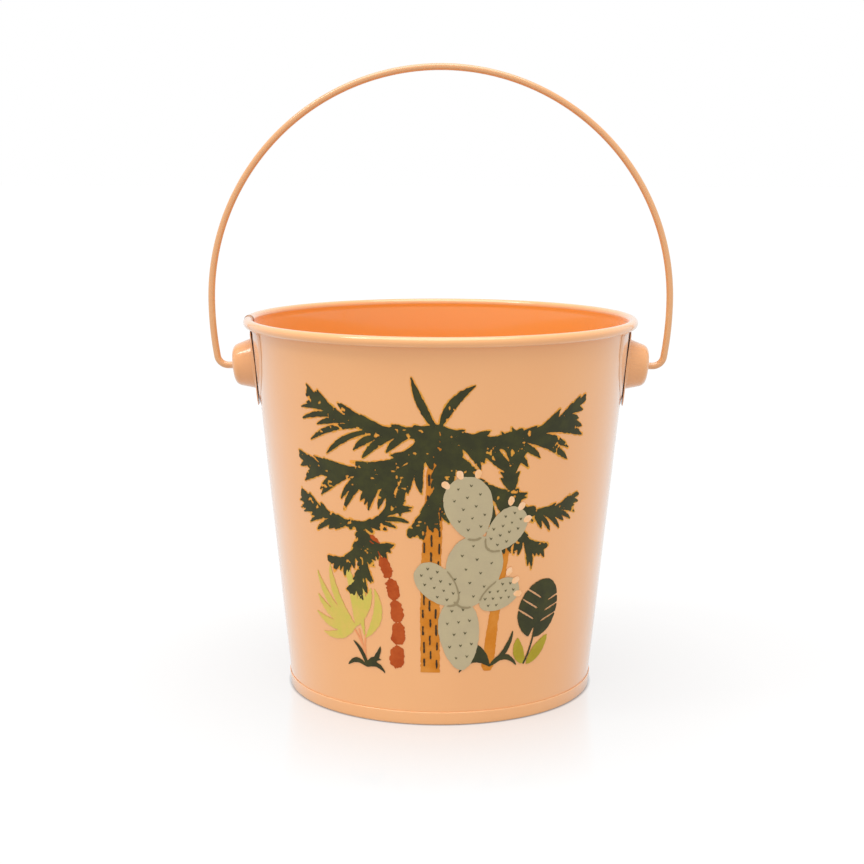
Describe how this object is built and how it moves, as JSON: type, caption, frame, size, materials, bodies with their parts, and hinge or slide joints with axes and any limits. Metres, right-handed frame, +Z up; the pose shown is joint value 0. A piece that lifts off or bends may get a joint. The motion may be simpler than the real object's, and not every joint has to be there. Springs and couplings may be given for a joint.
{
  "type": "sand bucket",
  "caption": "Tapered sheet-metal sand bucket with a rolled rim, a folded-on bottom, pressed ears and a swinging wire bail.",
  "frame": {"origin": "centre of the base, on the surface that the bucket stands on", "axes": "+Z up, X along the bail's pivots, the print faces -Y"},
  "size_m": [0.189, 0.16, 0.253],
  "materials": {
    "wall_enamel": "semi-gloss peach outside, glossy orange inside, printed on the outside",
    "rim_steel": "bare drawn wire, hidden in the bead",
    "pan_enamel": "semi-gloss peach outside, glossy orange inside",
    "ear_enamel": "semi-gloss peach",
    "bail_enamel": "semi-gloss tan over steel wire"
  },
  "bodies": {
    "bucket": {"body_wall": "wall_enamel", "rim_wire": "rim_steel", "bottom_pan": "pan_enamel", "ear_plate_left": "ear_enamel", "ear_plate_right": "ear_enamel", "ear_cup_left": "ear_enamel", "ear_cup_right": "ear_enamel"},
    "bail": {"bail": "bail_enamel"}
  },
  "joints": [
    {"name": "bail_swing", "type": "hinge", "parent": "bucket", "child": "bail", "pos_m": [0, 0, 0.1319], "axis": [1, 0, 0], "range_deg": [-145, 145]}
  ]
}
